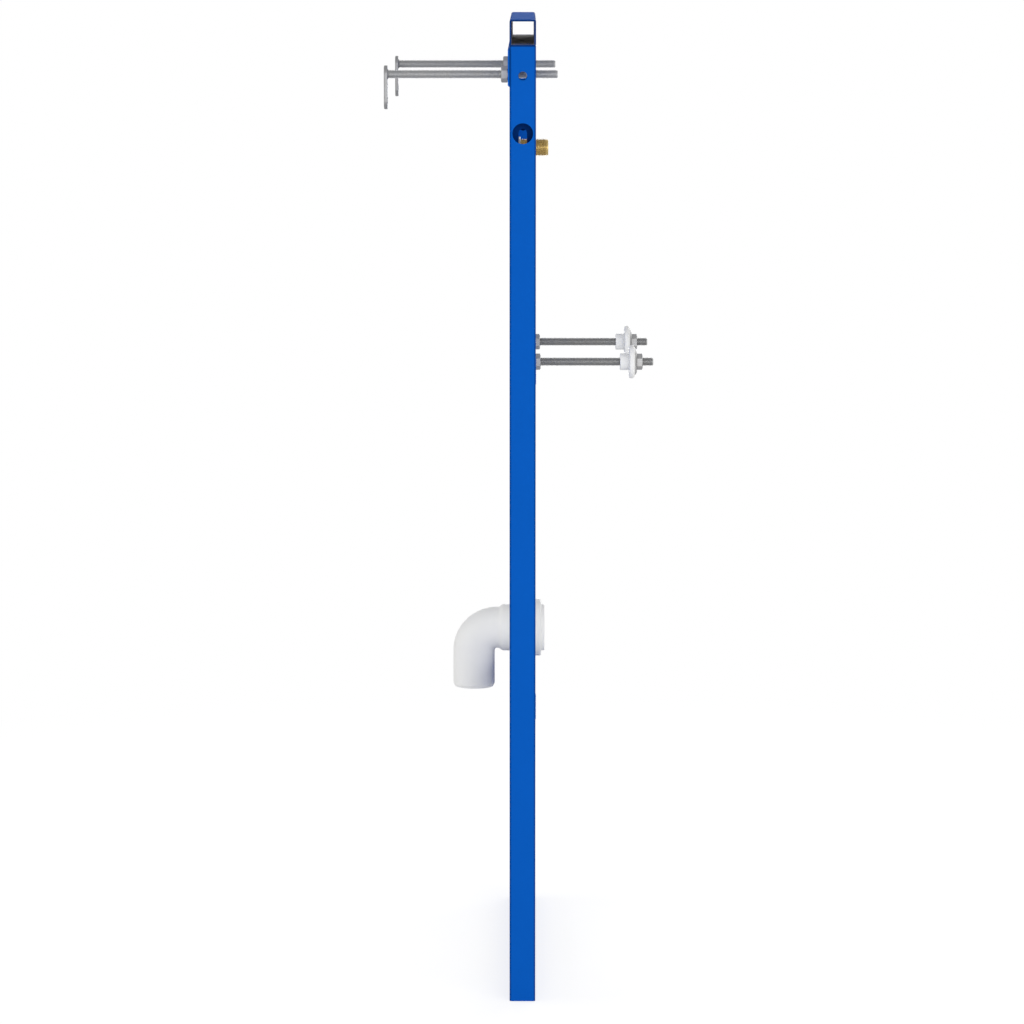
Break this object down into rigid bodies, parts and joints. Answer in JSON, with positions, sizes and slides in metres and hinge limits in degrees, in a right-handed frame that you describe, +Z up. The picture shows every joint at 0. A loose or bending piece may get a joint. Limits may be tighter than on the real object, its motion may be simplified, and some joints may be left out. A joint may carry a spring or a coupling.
{
  "type": "urinal installation frame",
  "caption": "Floor-standing welded tube frame for hanging a urinal in front of a wall, with wall rods, urinal studs, a brass water inlet and a drain elbow.",
  "frame": {"origin": "on the floor, at the middle of the bottom rail's underside", "axes": "+Z up, +X across the frame to the right as seen from the room, -Y towards the room, +Y towards the wall"},
  "size_m": [0.5, 0.3125, 1.14],
  "materials": {
    "powder_coat": "blue powder coat, satin",
    "zinc_steel": "bright zinc plate",
    "brass": "turned brass",
    "white_plastic": "moulded white polypropylene",
    "rubber": "moulded black rubber"
  },
  "bodies": {
    "root": {"left_upright": "powder_coat", "right_upright": "powder_coat", "top_crossbar": "powder_coat", "rear_strip": "powder_coat", "stud_rail": "powder_coat", "inlet_rail": "powder_coat", "drain_rail": "powder_coat", "bottom_rail": "powder_coat", "inlet_fitting": "brass", "inlet_lock_nut": "zinc_steel", "drain_elbow": "white_plastic", "drain_seal": "rubber", "drain_clamp": "zinc_steel", "drain_clamp_liner": "rubber", "left_wall_rod": "zinc_steel", "left_wall_plate": "zinc_steel", "left_wall_rod_front_nut": "zinc_steel", "left_wall_rod_rear_nut": "zinc_steel", "left_urinal_stud": "zinc_steel", "left_stud_front_nut": "zinc_steel", "left_stud_inner_nut": "zinc_steel", "left_collar_nut": "zinc_steel", "left_stud_collar": "white_plastic", "right_wall_rod": "zinc_steel", "right_wall_plate": "zinc_steel", "right_wall_rod_front_nut": "zinc_steel", "right_wall_rod_rear_nut": "zinc_steel", "right_urinal_stud": "zinc_steel", "right_stud_front_nut": "zinc_steel", "right_stud_inner_nut": "zinc_steel", "right_collar_nut": "zinc_steel", "right_stud_collar": "white_plastic"}
  },
  "joints": []
}
